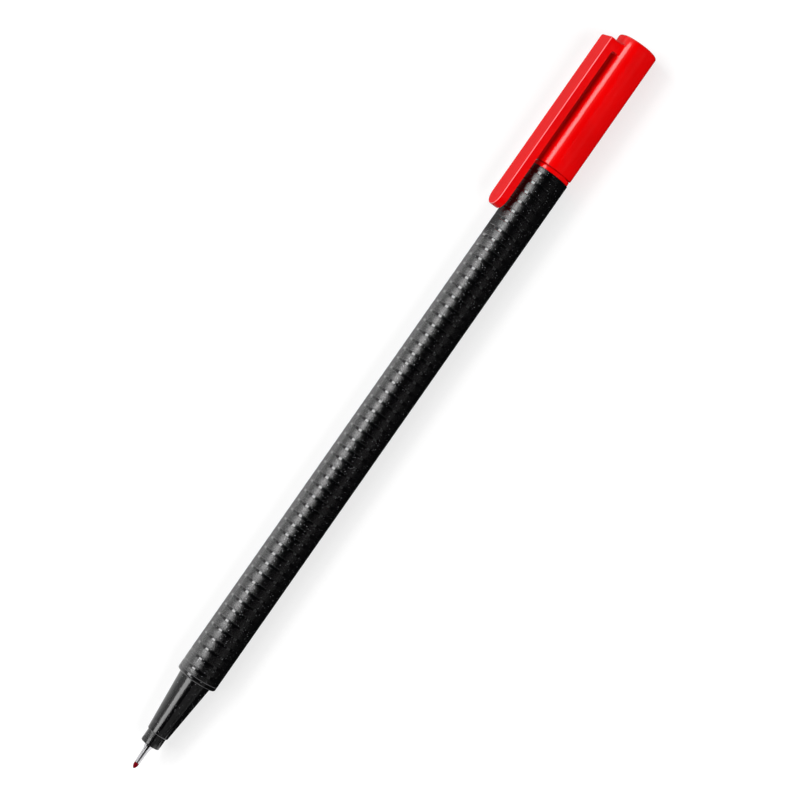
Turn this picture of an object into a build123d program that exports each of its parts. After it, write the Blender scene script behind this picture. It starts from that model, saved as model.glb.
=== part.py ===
# Three-sided fineliner pen with its cap posted on the rear end, lying on one face.
# X runs along the pen from the writing point to the cap and Z is up.
# The origin lies on the resting flat, under the middle of the barrel. Millimetres.
import math
import os

from build123d import *

# Three-sided section of barrel, flange, plug ring and cap
ridge_spread = 1.85  # from the axis to the centre of each ridge's arc
flat_width = 1.0  # narrow flat along the middle of each face
face_turn = 32.5  # degrees that a face bows from its flat to the ridge
lip_wall = 0.46  # cap's thinnest wall, over the cone's base
ridge_angles = (90, 210, 330)
face_angles = (30, 150, 270)
clip_side = 30  # the face that carries the clip, in degrees above +Y

# Nib
nib_point_length = 1.3
nib_point_diameter = 0.85
nib_tip_radius = 0.34
nib_rod_diameter = 1.2
nib_swell_length = 1.0
nib_insertion = 4.0
nib_tail_length = 1.2
nib_tail_diameter = 0.5

# Metal sleeve round the nib
sleeve_length = 4.3
sleeve_front_diameter = 1.1
sleeve_neck_diameter = 1.26
sleeve_base_diameter = 2.2
sleeve_flare_length = 1.8
sleeve_shank_diameter = 1.8
sleeve_shank_length = 4.5

# Nib holder, a collar with a stem
collar_length = 2.63
collar_diameter = 4.1
collar_edge_chamfer = 0.3
stem_diameter = 3.0
stem_length = 7.5

# Front section, a cone between its flange and the nib holder
cone_length = 12.97
cone_front_diameter = 4.64
cone_base_diameter = 6.96
cone_edge_chamfer = 0.1
flange_length = 1.0
flange_edge_chamfer = 0.35

# Spigots of the front section and the end plug, inside the barrel
spigot_length = 9.0
spigot_wall = 0.48
socket_depth = 5.0
ledge_width = 0.6
spigot_lead = 0.2

# Barrel
barrel_length = 120.3
barrel_wall = 0.85  # at the middle of each face
barrel_edge_chamfer = 0.08

# Film round the ink reservoir
film_thickness = 0.1

# End plug with the stub that the cap is posted on
ring_length = 0.8
ring_inset = 0.15
stub_length = 8.0
stub_edge_chamfer = 0.5
stub_wall = 0.9

# Cap
cap_length = 30.0
mouth_gap = 0.2
mouth_edge_chamfer = 0.2
seal_length = 3.1
cap_end_wall = 1.4
cap_dome_rise = 0.35
cap_end_radius = 0.4

# Clip, moulded in one with the cap
clip_length = 40.1
clip_drop = 2.4  # from the cap's end down to the clip's top
clip_width = 5.2
clip_thickness = 1.78
clip_gap = 1.02
clip_root_length = 2.2
clip_root_radius = 0.5
clip_blend_radius = 0.35  # where the root meets the cap
clip_corner_radius = 0.45  # rounds the two rear corners
clip_end_share = 0.96  # of half the clip's width
clip_edge_chamfer = 0.2

# Fits, as radial gaps
cap_fit = 0.06
press_gap = 0.02
film_gap = 0.02
overrun = 1.0

# Radii, worked inwards from the face of the section
cone_base_radius = cone_base_diameter / 2
cone_front_radius = cone_front_diameter / 2
face_height = cone_base_radius + cap_fit + lip_wall
bore_radius = face_height - barrel_wall
spigot_radius = bore_radius - press_gap
socket_radius = spigot_radius - spigot_wall
ledge_radius = socket_radius - ledge_width
film_radius = socket_radius - press_gap
core_radius = film_radius - film_thickness - film_gap
rod_radius = nib_rod_diameter / 2
rod_bore_radius = rod_radius + press_gap
point_radius = nib_point_diameter / 2
point_bore_radius = point_radius + press_gap
stem_radius = stem_diameter / 2
shank_radius = sleeve_shank_diameter / 2

# The bow of a face joins the flat to the ridge's arc, tangent to both
ridge_side = ridge_spread * math.cos(math.radians(30))
bow_reach = ridge_side - flat_width / 2
bow_excess = bow_reach / math.sin(math.radians(face_turn))
bow_rise = bow_reach * math.tan(math.radians(face_turn) / 2)
ridge_radius = face_height - ridge_spread / 2 - bow_rise
bow_radius = ridge_radius + bow_excess
ridge_height = ridge_spread + ridge_radius

# Places along X
barrel_front = -barrel_length / 2
barrel_rear = barrel_length / 2
flange_front = barrel_front - flange_length
cone_front = flange_front - cone_length
collar_front = cone_front - collar_length
sleeve_front = collar_front - sleeve_length
nib_front = sleeve_front - nib_point_length
stem_rear = cone_front + stem_length
shank_rear = collar_front + sleeve_shank_length
swell_rear = collar_front + nib_swell_length
nose_spigot_rear = barrel_front + spigot_length
core_front = nose_spigot_rear - socket_depth
nib_rear = core_front + nib_insertion
plug_spigot_front = barrel_rear - spigot_length
core_rear = plug_spigot_front + socket_depth
ring_rear = barrel_rear + ring_length
stub_rear = ring_rear + stub_length
cap_mouth = ring_rear + mouth_gap
cap_rear = cap_mouth + cap_length
cap_floor = cap_rear - cap_end_wall
seal_rear = cap_mouth + seal_length
clip_top = cap_rear - clip_drop
clip_front = clip_top - clip_length
root_front = clip_top - clip_root_length

# Planes: the section stands across the axis, and turned pieces are drawn on one half of it
pen_axis = Axis((0, 0, face_height), (1, 0, 0))
section_plane = Plane(origin=(0, 0, face_height), x_dir=(0, 1, 0), z_dir=(1, 0, 0))
lathe_plane = Plane(origin=(0, 0, face_height), x_dir=(1, 0, 0), z_dir=(0, -1, 0))
clip_normal = Vector(0, math.cos(math.radians(clip_side)), math.sin(math.radians(clip_side)))
clip_across = Vector(1, 0, 0).cross(clip_normal)
clip_plane = Plane(origin=(0, 0, face_height), x_dir=(1, 0, 0), z_dir=clip_across)

os.makedirs("parts", exist_ok=True)


# Radius of the front section's cone, a distance ahead of its base
def cone_radius(ahead):
    return cone_base_radius - (cone_base_radius - cone_front_radius) * ahead / cone_length


# Point at a distance along a direction of the section, and one to the left of it
def along(angle, distance, left=0):
    turn = math.radians(angle)
    across = distance * math.cos(turn) - left * math.sin(turn)
    up = distance * math.sin(turn) + left * math.cos(turn)
    return (across, up)


# Three-sided outline at a place on the axis, drawn in by an inset
def three_sided(place, inset=0):
    half_ridge = 60 - face_turn
    flat_height = face_height - inset
    bow = bow_radius - inset
    ridge = ridge_radius - inset
    half_flat = flat_width / 2
    with BuildSketch(section_plane.offset(place)) as outline:
        with BuildLine():
            for angle in ridge_angles:
                CenterArc(along(angle, ridge_spread), ridge, angle - half_ridge, 2 * half_ridge)
            for angle in face_angles:
                Line(along(angle, flat_height, -half_flat), along(angle, flat_height, half_flat))
                CenterArc(along(angle, flat_height - bow, half_flat), bow, angle, face_turn)
                CenterArc(along(angle, flat_height - bow, -half_flat), bow, angle - face_turn, face_turn)
        make_face()
    return outline.sketch


# Half section between corner points, closed, for a piece that is turned about the axis
def turned(*corners):
    with BuildSketch(lathe_plane) as half:
        with BuildLine():
            Polyline(*corners, close=True)
        make_face()
    return half.sketch


# Nib: a ground point, a swell inside the sleeve and a rod that runs back into the reservoir
with BuildPart() as nib:
    with BuildSketch(lathe_plane):
        with BuildLine():
            tip_centre = nib_front + nib_tip_radius
            tail_radius = nib_tail_diameter / 2
            CenterArc((tip_centre, 0), nib_tip_radius, 90, 90)
            Polyline(
                (tip_centre, nib_tip_radius),
                (sleeve_front, point_radius),
                (collar_front, point_radius),
                (swell_rear, rod_radius),
                (nib_rear - nib_tail_length, rod_radius),
                (nib_rear, tail_radius),
                (nib_rear, 0),
                (nib_front, 0),
            )
        make_face()
    revolve(axis=pen_axis)
nib.part.label = "nib"
export_step(nib.part, "parts/nib.step")

# Metal sleeve: a slim neck that flares to its seat on the collar, and a shank inside it
with BuildPart() as nib_sleeve:
    with BuildSketch(lathe_plane):
        with BuildLine():
            flare_front = (collar_front - sleeve_flare_length, sleeve_neck_diameter / 2)
            seat = (collar_front, sleeve_base_diameter / 2)
            Line((sleeve_front, sleeve_front_diameter / 2), flare_front)
            TangentArc(flare_front, seat, tangent=(1, 0))
            Polyline(
                seat,
                (collar_front, shank_radius),
                (shank_rear, shank_radius),
                (shank_rear, rod_bore_radius),
                (swell_rear, rod_bore_radius),
                (collar_front, point_bore_radius),
                (sleeve_front, point_bore_radius),
                (sleeve_front, sleeve_front_diameter / 2),
            )
        make_face()
    revolve(axis=pen_axis)
nib_sleeve.part.label = "nib_sleeve"
export_step(nib_sleeve.part, "parts/nib_sleeve.step")

# Nib holder: the collar stands ahead of the cone and its stem is pressed into it
with BuildPart() as nib_holder:
    collar_radius = collar_diameter / 2
    shank_bore_radius = shank_radius + press_gap
    collar_half = turned(
        (collar_front, shank_bore_radius),
        (collar_front, collar_radius),
        (cone_front, collar_radius),
        (cone_front, stem_radius),
        (stem_rear, stem_radius),
        (stem_rear, rod_bore_radius),
        (shank_rear, rod_bore_radius),
        (shank_rear, shank_bore_radius),
    )
    revolve(collar_half, axis=pen_axis)
    rims = faces().sort_by(Axis.X)[0].edges().sort_by(SortBy.RADIUS)
    chamfer(rims[-1], collar_edge_chamfer)
nib_holder.part.label = "nib_holder"
export_step(nib_holder.part, "parts/nib_holder.step")

# Front section: three-sided flange, smooth cone, and a spigot inside the barrel
with BuildPart() as front_section:
    extrude(three_sided(flange_front), amount=flange_length)
    chamfer(faces().sort_by(Axis.X)[0].edges(), flange_edge_chamfer)
    cone_half = turned(
        (cone_front, 0),
        (cone_front, cone_front_radius),
        (flange_front, cone_base_radius),
        (barrel_front, cone_base_radius),
        (barrel_front, spigot_radius),
        (nose_spigot_rear - spigot_lead, spigot_radius),
        (nose_spigot_rear, spigot_radius - spigot_lead),
        (nose_spigot_rear, 0),
    )
    revolve(cone_half, axis=pen_axis)
    chamfer(faces().sort_by(Axis.X)[0].edges(), cone_edge_chamfer)
    stem_bore_radius = stem_radius + press_gap
    nose_hollow = turned(
        (cone_front - overrun, 0),
        (cone_front - overrun, stem_bore_radius),
        (stem_rear, stem_bore_radius),
        (stem_rear, ledge_radius),
        (core_front, ledge_radius),
        (core_front, socket_radius),
        (nose_spigot_rear + overrun, socket_radius),
        (nose_spigot_rear + overrun, 0),
    )
    revolve(nose_hollow, axis=pen_axis, mode=Mode.SUBTRACT)
front_section.part.label = "front_section"
export_step(front_section.part, "parts/front_section.step")

# Barrel: three-sided tube with a round bore
with BuildPart() as barrel:
    extrude(three_sided(barrel_front), amount=barrel_length)
    end_faces = faces().filter_by(Axis.X)
    chamfer(end_faces.edges(), barrel_edge_chamfer)
    with BuildSketch(section_plane.offset(barrel_front)):
        Circle(bore_radius)
    extrude(amount=barrel_length, mode=Mode.SUBTRACT)
barrel.part.label = "barrel"
export_step(barrel.part, "parts/barrel.step")

# Ink reservoir: a fibre core with the hole that the nib's tail is pushed into
with BuildPart() as ink_reservoir:
    tail_bore_radius = tail_radius + press_gap
    core_half = turned(
        (core_front, rod_bore_radius),
        (core_front, core_radius),
        (core_rear, core_radius),
        (core_rear, 0),
        (nib_rear + press_gap, 0),
        (nib_rear + press_gap, tail_bore_radius),
        (nib_rear - nib_tail_length, rod_bore_radius),
    )
    revolve(core_half, axis=pen_axis)
ink_reservoir.part.label = "ink_reservoir"
export_step(ink_reservoir.part, "parts/ink_reservoir.step")

# Film jacket of the reservoir
with BuildPart() as reservoir_wrap:
    with BuildSketch(section_plane.offset(core_front)):
        Circle(film_radius)
        Circle(core_radius + film_gap, mode=Mode.SUBTRACT)
    extrude(amount=core_rear - core_front)
reservoir_wrap.part.label = "reservoir_wrap"
export_step(reservoir_wrap.part, "parts/reservoir_wrap.step")

# End plug: a spigot in the barrel, a ring flush with it, and a stub shaped as the cone's base
with BuildPart() as end_plug:
    extrude(three_sided(barrel_rear, ring_inset), amount=ring_length)
    guide_radius = cone_radius(seal_length + mouth_gap)
    plug_half = turned(
        (plug_spigot_front, 0),
        (plug_spigot_front, spigot_radius - spigot_lead),
        (plug_spigot_front + spigot_lead, spigot_radius),
        (barrel_rear, spigot_radius),
        (ring_rear, cone_base_radius),
        (seal_rear, guide_radius),
        (stub_rear, guide_radius),
        (stub_rear, 0),
    )
    revolve(plug_half, axis=pen_axis)
    chamfer(faces().sort_by(Axis.X)[-1].edges(), stub_edge_chamfer)
    plug_hollow = turned(
        (plug_spigot_front - overrun, 0),
        (plug_spigot_front - overrun, socket_radius),
        (core_rear, socket_radius),
        (core_rear, ledge_radius),
        (stub_rear - stub_wall, ledge_radius),
        (stub_rear - stub_wall, 0),
    )
    revolve(plug_hollow, axis=pen_axis, mode=Mode.SUBTRACT)
end_plug.part.label = "end_plug"
export_step(end_plug.part, "parts/end_plug.step")

# Clip: a flat tongue with a rounded free end, on a root that reaches into the cap
with BuildPart() as clip:
    clip_inner = face_height + clip_gap
    clip_outer = clip_inner + clip_thickness
    with BuildSketch(clip_plane) as tongue:
        with BuildLine():
            Polyline(
                (clip_top, 0),
                (clip_top, clip_outer),
                (clip_front, clip_outer),
                (clip_front, clip_inner),
                (root_front, clip_inner),
                (root_front, 0),
                close=True,
            )
        make_face()
        inner_corner = tongue.vertices().sort_by_distance(clip_plane.from_local_coords((root_front, clip_inner)))
        fillet(inner_corner[0], clip_root_radius)
    extrude(amount=clip_width / 2, both=True)
    outward = Axis((0, 0, face_height), tuple(clip_normal))
    upright_edges = edges().filter_by(outward).group_by(Axis.X)
    fillet(upright_edges[0], clip_end_share * clip_width / 2)
    fillet(upright_edges[-1], clip_corner_radius)
    chamfer(faces().sort_by(outward)[-1].edges(), clip_edge_chamfer)

# Cap: three-sided shell with a shallow dome, the clip, and a bore that seats on cone or stub
with BuildPart() as cap:
    extrude(three_sided(cap_mouth), amount=cap_length)
    chamfer(faces().sort_by(Axis.X)[0].edges(), mouth_edge_chamfer)
    dome_radius = (ridge_height**2 + cap_dome_rise**2) / (2 * cap_dome_rise)
    dome_reach = ridge_height + overrun
    dome_angle = math.degrees(math.asin(dome_reach / dome_radius))
    dome_edge = cap_rear - dome_radius + math.sqrt(dome_radius**2 - dome_reach**2)
    with BuildSketch(lathe_plane):
        with BuildLine():
            CenterArc((cap_rear - dome_radius, 0), dome_radius, 0, dome_angle)
            Polyline(
                (dome_edge, dome_reach),
                (cap_rear + overrun, dome_reach),
                (cap_rear + overrun, 0),
                (cap_rear, 0),
            )
        make_face()
    revolve(axis=pen_axis, mode=Mode.SUBTRACT)
    fillet(faces().sort_by(Axis.X)[-1].edges(), cap_end_radius)
    add(clip.part)
    root_edges = edges(Select.NEW)
    shortest = min(edge.length for edge in root_edges)
    fillet(root_edges, min(clip_blend_radius, shortest / 2))
    mouth_radius = cone_radius(mouth_gap) + cap_fit
    throat_radius = guide_radius + cap_fit
    cap_hollow = turned(
        (cap_mouth - overrun, 0),
        (cap_mouth - overrun, mouth_radius),
        (cap_mouth, mouth_radius),
        (seal_rear, throat_radius),
        (cap_floor, throat_radius),
        (cap_floor, 0),
    )
    revolve(cap_hollow, axis=pen_axis, mode=Mode.SUBTRACT)
cap.part.label = "cap"
export_step(cap.part, "parts/cap.step")
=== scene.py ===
import math

import bmesh
import bpy
from mathutils import Matrix, Vector


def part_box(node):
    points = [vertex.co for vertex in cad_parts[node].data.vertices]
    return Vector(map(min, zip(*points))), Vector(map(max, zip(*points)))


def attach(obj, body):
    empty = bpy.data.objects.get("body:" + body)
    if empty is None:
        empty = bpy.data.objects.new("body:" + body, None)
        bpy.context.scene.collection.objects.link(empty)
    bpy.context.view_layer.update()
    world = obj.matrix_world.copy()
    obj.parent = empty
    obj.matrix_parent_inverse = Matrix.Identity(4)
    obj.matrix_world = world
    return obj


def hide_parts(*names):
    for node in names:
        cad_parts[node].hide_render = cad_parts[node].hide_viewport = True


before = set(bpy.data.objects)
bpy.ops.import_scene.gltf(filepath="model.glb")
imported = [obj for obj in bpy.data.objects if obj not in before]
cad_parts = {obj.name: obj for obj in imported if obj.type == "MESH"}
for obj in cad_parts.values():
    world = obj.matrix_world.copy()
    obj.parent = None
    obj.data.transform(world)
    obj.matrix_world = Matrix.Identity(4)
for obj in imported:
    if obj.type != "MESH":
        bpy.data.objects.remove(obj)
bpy.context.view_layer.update()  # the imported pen: x runs from nib to cap, z is up
mm = 0.001
print("frame loaded:", len(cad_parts), "nodes")


def spanX(node):  # where a node starts and ends along the pen, in mm
    low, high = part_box(node)
    return low.x / mm, high.x / mm


def axisOf(node):  # height of a turned node's axis, in mm
    low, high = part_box(node)
    return (low.z + high.z) / 2 / mm


# The three-sided section that barrel, flange, plug ring and cap share
sectionShape = {
    "faceHeight": axisOf("nib"),  # the pen lies on a face, so this is the axis height too
    "ridgeSpread": 1.85,  # axis to the centre of each ridge's arc
    "flatWidth": 1.0,  # narrow flat along the middle of each face
    "faceTurn": 32.5,  # degrees that a face bows from its flat to the ridge
    "clipFace": 30,  # direction of the face with the clip, degrees above +y
    "ridgeSteps": 14,
    "bowSteps": 8,
    "flatSteps": 2,
}
halfCorner = 60  # degrees from the middle of a face to the middle of a ridge
axisHeight = sectionShape["faceHeight"]
ridgeSide = sectionShape["ridgeSpread"] * math.cos(math.radians(90 - halfCorner))
bowReach = ridgeSide - sectionShape["flatWidth"] / 2
bowTurn = math.radians(sectionShape["faceTurn"])
ridgeRadius = axisHeight - sectionShape["ridgeSpread"] / 2 - bowReach * math.tan(bowTurn / 2)
bowRadius = ridgeRadius + bowReach / math.sin(bowTurn)
bowCentre = axisHeight - bowRadius
faceColumns = 2 * sectionShape["bowSteps"] + sectionShape["flatSteps"]


def turnedBy(angle, distance, left=0):  # a point out along a direction, then left of it
    turn = math.radians(angle)
    across = distance * math.cos(turn) - left * math.sin(turn)
    up = distance * math.sin(turn) + left * math.cos(turn)
    return across, up


def roundedEdge(centre, radius, start, sweep, steps):  # points on an arc, with both its ends
    points = []
    for step in range(steps + 1):
        angle = math.radians(start + sweep * step / steps)
        points.append((centre[0] + radius * math.cos(angle), centre[1] + radius * math.sin(angle)))
    return points


def arcPoints(*arc):  # the same without the last, where another arc follows
    return roundedEdge(*arc)[:-1]


def threeSided(inset=0):  # one loop round the section, from where the clip's face starts
    shape = sectionShape
    turn, bowSteps = shape["faceTurn"], shape["bowSteps"]
    half = shape["flatWidth"] / 2
    bow = bowRadius - inset
    loop = []
    for side in range(3):
        face = shape["clipFace"] + 2 * halfCorner * side
        loop += arcPoints(turnedBy(face, bowCentre, -half), bow, face - turn, turn, bowSteps)
        for step in range(shape["flatSteps"]):
            share = step / shape["flatSteps"]
            loop.append(turnedBy(face, bowCentre + bow, half * (2 * share - 1)))
        loop += arcPoints(turnedBy(face, bowCentre, half), bow, face, turn, bowSteps)
        ridge = turnedBy(face + halfCorner, shape["ridgeSpread"])
        sweep = 2 * (halfCorner - turn)
        loop += arcPoints(ridge, ridgeRadius - inset, face + turn, sweep, shape["ridgeSteps"])
    return loop


sectionAngles = [math.atan2(up, across) for across, up in threeSided()]


def roundLoop(radius):  # a circle with as many points, each beside its point of the section
    return [(radius * math.cos(angle), radius * math.sin(angle)) for angle in sectionAngles]


def rowAt(x, loop):  # a loop set across the pen at x, in mm of the frame
    return [Vector((x, across, axisHeight + up)) for across, up in loop]


def lathe(profile):  # rows of a turned piece, from (x, radius) points
    return [rowAt(x, roundLoop(radius)) for x, radius in profile]


def bridge(bm, lower, upper, leftOut=()):  # quads between two loops
    for k in range(len(lower)):
        if k not in leftOut:
            n = (k + 1) % len(lower)
            bm.faces.new((lower[k], lower[n], upper[n], upper[k]))


def skinRows(bm, rows, closed=True, holeRows=(), holeColumns=()):  # open ends get a fan
    made = [[bm.verts.new(point * mm) for point in row] for row in rows]
    pairs = list(zip(made, made[1:]))
    if closed:
        pairs.append((made[-1], made[0]))
    for place, (lower, upper) in enumerate(pairs):
        bridge(bm, lower, upper, holeColumns if place in holeRows else ())
    if not closed:
        for row in (made[0], made[-1]):
            middle = bm.verts.new(sum((vert.co for vert in row), Vector()) / len(row))
            for k in range(len(row)):
                bm.faces.new((row[k], row[(k + 1) % len(row)], middle))
    return made


pieceFinish = {
    "sharpAngle": 38,  # degrees between faces from which an edge stays crisp
    "normalWeight": 60,  # how much large faces lead the shading
}


def finishPiece(name, bm, body, node, material):
    bmesh.ops.recalc_face_normals(bm, faces=bm.faces)
    for face in bm.faces:
        face.smooth = True
    for edge in bm.edges:
        edge.smooth = edge.calc_face_angle(0) < math.radians(pieceFinish["sharpAngle"])
    mesh = bpy.data.meshes.new(name)
    bm.to_mesh(mesh)
    bm.free()
    mesh.materials.append(material)
    piece = bpy.data.objects.new(name, mesh)
    bpy.context.scene.collection.objects.link(piece)
    evenShading = piece.modifiers.new("evenShading", "WEIGHTED_NORMAL")
    evenShading.keep_sharp = True
    evenShading.weight = pieceFinish["normalWeight"]
    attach(piece, body)
    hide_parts(node)
    print("piece made:", name, len(mesh.polygons), "faces")


# Shader helpers

def fillInputs(tree, node, inputs):  # a socket is linked, a value is set
    for key, value in inputs.items():
        if isinstance(value, bpy.types.NodeSocket):
            tree.links.new(value, node.inputs[key])
        else:
            node.inputs[key].default_value = value


def addNode(tree, kind, inputs=None, **settings):
    node = tree.nodes.new(kind)
    for key, value in settings.items():
        setattr(node, key, value)
    fillInputs(tree, node, inputs or {})
    return node


def mathNode(tree, operation, *values):
    return addNode(tree, "ShaderNodeMath", dict(enumerate(values)), operation=operation).outputs[0]


def rampNode(tree, value, fromMin, fromMax, toMin, toMax, kind="SMOOTHSTEP"):
    limits = {
        "Value": value, "From Min": fromMin, "From Max": fromMax, "To Min": toMin, "To Max": toMax,
    }
    return addNode(tree, "ShaderNodeMapRange", limits, interpolation_type=kind).outputs["Result"]


def mixColours(tree, factor, first, second):
    inputs = {0: factor, 6: first, 7: second}  # the mix node's places for colours
    return addNode(tree, "ShaderNodeMix", inputs, data_type="RGBA").outputs[2]


number, vector = "NodeSocketFloat", "NodeSocketVector"


def startGroup(name, inputs, outputs):  # the group, what it is given and its output node
    group = bpy.data.node_groups.new(name, "ShaderNodeTree")
    for label, kind in inputs.items():
        group.interface.new_socket(name=label, in_out="INPUT", socket_type=kind)
    for label in outputs:
        group.interface.new_socket(name=label, in_out="OUTPUT", socket_type=number)
    given = addNode(group, "NodeGroupInput").outputs
    return group, given, addNode(group, "NodeGroupOutput")


def placeGroup(tree, group, inputs):
    return addNode(tree, "ShaderNodeGroup", inputs, node_tree=group).outputs


# What the shared effects keep fixed; a span is the noise level where one starts and is full
effectLook = {
    "smallestSpeck": 0.45,  # shares of the largest and the brightest speck
    "faintestSpeck": 0.35,
    "speckEdge": 0.5,  # share of a speck that is its soft edge
    "cloudSpan": (0.3, 0.7),
    "smearSpan": (0.48, 0.75),
    "hairlineSpan": (0.62, 0.8),
    "hairlineStretch": (0.06, 1, 1),  # hairlines run along the pen
}


def paleSpecksGroup():  # small pale grains set at random in the plastic
    group, given, out = startGroup(
        "paleSpecks", {"Vector": vector, "Scale": number, "Size": number, "Share": number}, ["Mask"]
    )
    smallest, faintest = effectLook["smallestSpeck"], effectLook["faintestSpeck"]
    place = {"Vector": given["Vector"], "Scale": given["Scale"]}
    cells = addNode(group, "ShaderNodeTexVoronoi", place).outputs
    chance = addNode(group, "ShaderNodeSeparateColor", {"Color": cells["Color"]}).outputs
    sizeShare = rampNode(group, chance[1], 0, 1, smallest, 1, "LINEAR")
    ownSize = mathNode(group, "MULTIPLY", given["Size"], sizeShare)
    inside = mathNode(group, "SUBTRACT", 1, mathNode(group, "DIVIDE", cells["Distance"], ownSize))
    dot = rampNode(group, inside, 0, effectLook["speckEdge"], 0, 1)
    kept = mathNode(group, "LESS_THAN", chance[0], given["Share"])
    bright = rampNode(group, chance[2], 0, 1, faintest, 1, "LINEAR")
    mask = mathNode(group, "MULTIPLY", mathNode(group, "MULTIPLY", dot, kept), bright)
    fillInputs(group, out, {"Mask": mask})
    return group


def mouldedSkinGroup():  # slow ripple and fine grain of moulded plastic
    group, given, out = startGroup(
        "mouldedSkin",
        {"Vector": vector, "Ripple Scale": number, "Grain Scale": number, "Grain": number},
        ["Height", "Cloud"],
    )
    ripple = addNode(
        group, "ShaderNodeTexNoise",
        {"Vector": given["Vector"], "Scale": given["Ripple Scale"], "Detail": 3, "Roughness": 0.5},
    ).outputs[0]
    grain = addNode(
        group, "ShaderNodeTexNoise",
        {"Vector": given["Vector"], "Scale": given["Grain Scale"], "Detail": 2, "Roughness": 0.6},
    ).outputs[0]
    fine = mathNode(group, "MULTIPLY", grain, given["Grain"])
    fillInputs(group, out, {
        "Height": mathNode(group, "ADD", ripple, fine),
        "Cloud": rampNode(group, ripple, *effectLook["cloudSpan"], 0, 1),
    })
    return group


def handlingMarksGroup():  # faint smears and hairlines from handling
    group, given, out = startGroup(
        "handlingMarks",
        {"Vector": vector, "Smear Scale": number, "Hairline Scale": number},
        ["Smears", "Hairlines"],
    )
    smear = addNode(
        group, "ShaderNodeTexNoise",
        {"Vector": given["Vector"], "Scale": given["Smear Scale"], "Detail": 4, "Distortion": 0.6},
    ).outputs[0]
    stretch = {"Vector": given["Vector"], "Scale": effectLook["hairlineStretch"]}
    hair = addNode(
        group, "ShaderNodeTexNoise",
        {
            "Vector": addNode(group, "ShaderNodeMapping", stretch).outputs[0],
            "Scale": given["Hairline Scale"], "Detail": 2,
        },
    ).outputs[0]
    fillInputs(group, out, {
        "Smears": rampNode(group, smear, *effectLook["smearSpan"], 0, 1),
        "Hairlines": rampNode(group, hair, *effectLook["hairlineSpan"], 0, 1),
    })
    return group


def streaksGroup():  # noise drawn out one way: fibres, creases and the lines of a drawn tube
    group, given, out = startGroup(
        "streaks",
        {
            "Vector": vector, "Stretch": vector, "Scale": number, "Detail": number,
            "Roughness": number, "Distortion": number, "Start": number, "Full": number,
        },
        ["Height", "Mask"],
    )
    stretch = {"Vector": given["Vector"], "Scale": given["Stretch"]}
    noise = addNode(
        group, "ShaderNodeTexNoise",
        {
            "Vector": addNode(group, "ShaderNodeMapping", stretch).outputs[0],
            "Scale": given["Scale"], "Detail": given["Detail"],
            "Roughness": given["Roughness"], "Distortion": given["Distortion"],
        },
    ).outputs[0]
    mask = rampNode(group, noise, given["Start"], given["Full"], 0, 1)
    fillInputs(group, out, {"Height": noise, "Mask": mask})
    return group


paleSpecks = paleSpecksGroup()
mouldedSkin = mouldedSkinGroup()
handlingMarks = handlingMarksGroup()
streaks = streaksGroup()
print("shader groups made")


# The groups placed in a material with the values of a piece's look

def placeSpecks(tree, coords, look):
    return placeGroup(tree, paleSpecks, {
        "Vector": coords, "Scale": look["speckScale"],
        "Size": look["speckSize"], "Share": look["speckShare"],
    })["Mask"]


def placeSkin(tree, coords, look):
    return placeGroup(tree, mouldedSkin, {
        "Vector": coords, "Ripple Scale": look["rippleScale"],
        "Grain Scale": look["grainScale"], "Grain": look["grain"],
    })


def placeMarks(tree, coords, look):
    return placeGroup(tree, handlingMarks, {
        "Vector": coords, "Smear Scale": look["smearScale"],
        "Hairline Scale": look["hairlineScale"],
    })


def placeStreaks(tree, coords, look):
    start, full = look["streakSpan"]
    return placeGroup(tree, streaks, {
        "Vector": coords, "Stretch": look["streakStretch"], "Scale": look["streakScale"],
        "Detail": look["streakDetail"], "Roughness": look["streakRoughness"],
        "Distortion": look["streakBend"], "Start": start, "Full": full,
    })


def startMaterial(name):
    material = bpy.data.materials.new(name)
    material.use_nodes = True
    tree = material.node_tree
    shader = tree.nodes["Principled BSDF"]
    # metres of the frame, so the scales of textures are per metre
    coords = addNode(tree, "ShaderNodeTexCoord").outputs["Object"]
    return material, tree, shader, coords


def bumpFrom(tree, shader, height, depth):  # depth in mm for a height of 1
    bump = addNode(tree, "ShaderNodeBump", {"Height": height, "Distance": depth * mm})
    fillInputs(tree, shader, {"Normal": bump.outputs["Normal"]})


def wornGloss(tree, shader, coords, look):  # smeared and scratched gloss of moulded plastic
    skin = placeSkin(tree, coords, look)
    marks = placeMarks(tree, coords, look)
    worn = rampNode(
        tree, marks["Smears"], 0, 1, look["roughness"], look["smearRoughness"], "LINEAR"
    )
    fillInputs(tree, shader, {"Roughness": worn, "IOR": look["ior"]})
    scratches = mathNode(tree, "MULTIPLY", marks["Hairlines"], look["hairlineDepth"])
    bumpFrom(tree, shader, mathNode(tree, "SUBTRACT", skin["Height"], scratches), look["skinDepth"])
    return skin


# Barrel: matte speckled tube with narrow polished rings

barrelShape = {
    "bore": 3.15,  # radius
    "endRound": 0.08,
    "endSteps": 3,
    "ringCount": 53,
    "ringEndGap": 1.28,  # from a barrel end to the middle of its first ring
    "ringWidth": 0.58,
    "ringDepth": 0.012,
    "ringRamp": 0.08,
}
barrelLook = {
    "black": (0.0012, 0.0012, 0.0014, 1),
    "speck": (0.4, 0.4, 0.42, 1),
    "speckScale": 2400,
    "speckSize": 0.18,
    "speckShare": 0.75,
    "ringRoughness": 0.08,
    "bandRoughness": 0.2,
    "bandStart": 0.8,  # share of a ring's half width where its polish starts to fade
    "bandFade": 0.1,  # mm past the ring where the matte band is full
    "cloudRoughness": (0.92, 1.08),
    "rippleScale": 160,
    "grainScale": 6000,
    "grain": 1.0,
    "skinDepth": 0.066,
    "ior": 1.75,
}


def ringPitch():
    front, rear = spanX("barrel")
    return (rear - front - 2 * barrelShape["ringEndGap"]) / (barrelShape["ringCount"] - 1)


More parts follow.
